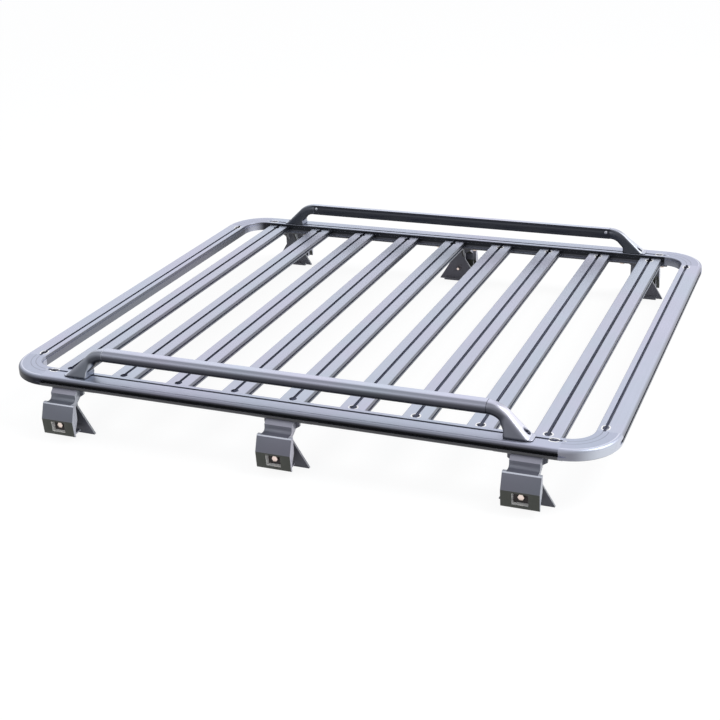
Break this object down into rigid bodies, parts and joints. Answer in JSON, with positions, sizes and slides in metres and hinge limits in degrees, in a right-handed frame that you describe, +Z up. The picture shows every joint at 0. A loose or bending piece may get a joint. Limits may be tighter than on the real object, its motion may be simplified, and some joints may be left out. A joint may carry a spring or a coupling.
{
  "type": "platform roof rack with gutter feet",
  "caption": "Flat aluminium roof rack platform with slotted slats, rounded corner castings, low guard rails along both sides and gutter clamp feet.",
  "frame": {"origin": "middle of the rack, on the plane of its feet's soles", "axes": "+X along the vehicle and the guard rails, +Y across it from the near side rail to the far one, +Z up"},
  "size_m": [1.508, 1.436, 0.216],
  "materials": {
    "aluminium": "satin",
    "dark_aluminium": "satin",
    "black_steel": "painted",
    "bright_steel": "brushed"
  },
  "bodies": {
    "root": {"side_rail_near": "aluminium", "side_rail_far": "aluminium", "end_rail_left": "aluminium", "end_rail_right": "aluminium", "corner_near_left": "aluminium", "corner_near_right": "aluminium", "corner_far_left": "aluminium", "corner_far_right": "aluminium", "slat_1": "aluminium", "slat_2": "aluminium", "slat_3": "aluminium", "slat_4": "aluminium", "slat_5": "aluminium", "slat_6": "aluminium", "slat_7": "aluminium", "slat_8": "aluminium", "slat_9": "aluminium", "guard_tube_near": "aluminium", "guard_tube_far": "aluminium", "guard_bracket_near_left": "aluminium", "guard_bracket_near_right": "aluminium", "guard_bracket_far_left": "aluminium", "guard_bracket_far_right": "aluminium", "leg_near_left": "black_steel", "leg_near_middle": "black_steel", "leg_near_right": "black_steel", "leg_far_left": "black_steel", "leg_far_middle": "black_steel", "leg_far_right": "black_steel", "clamp_near_left": "dark_aluminium", "clamp_near_middle": "dark_aluminium", "clamp_near_right": "dark_aluminium", "clamp_far_left": "dark_aluminium", "clamp_far_middle": "dark_aluminium", "clamp_far_right": "dark_aluminium", "foot_bolts_near_left": "bright_steel", "foot_bolts_near_middle": "bright_steel", "foot_bolts_near_right": "bright_steel", "foot_bolts_far_left": "bright_steel", "foot_bolts_far_middle": "bright_steel", "foot_bolts_far_right": "bright_steel"}
  },
  "joints": []
}
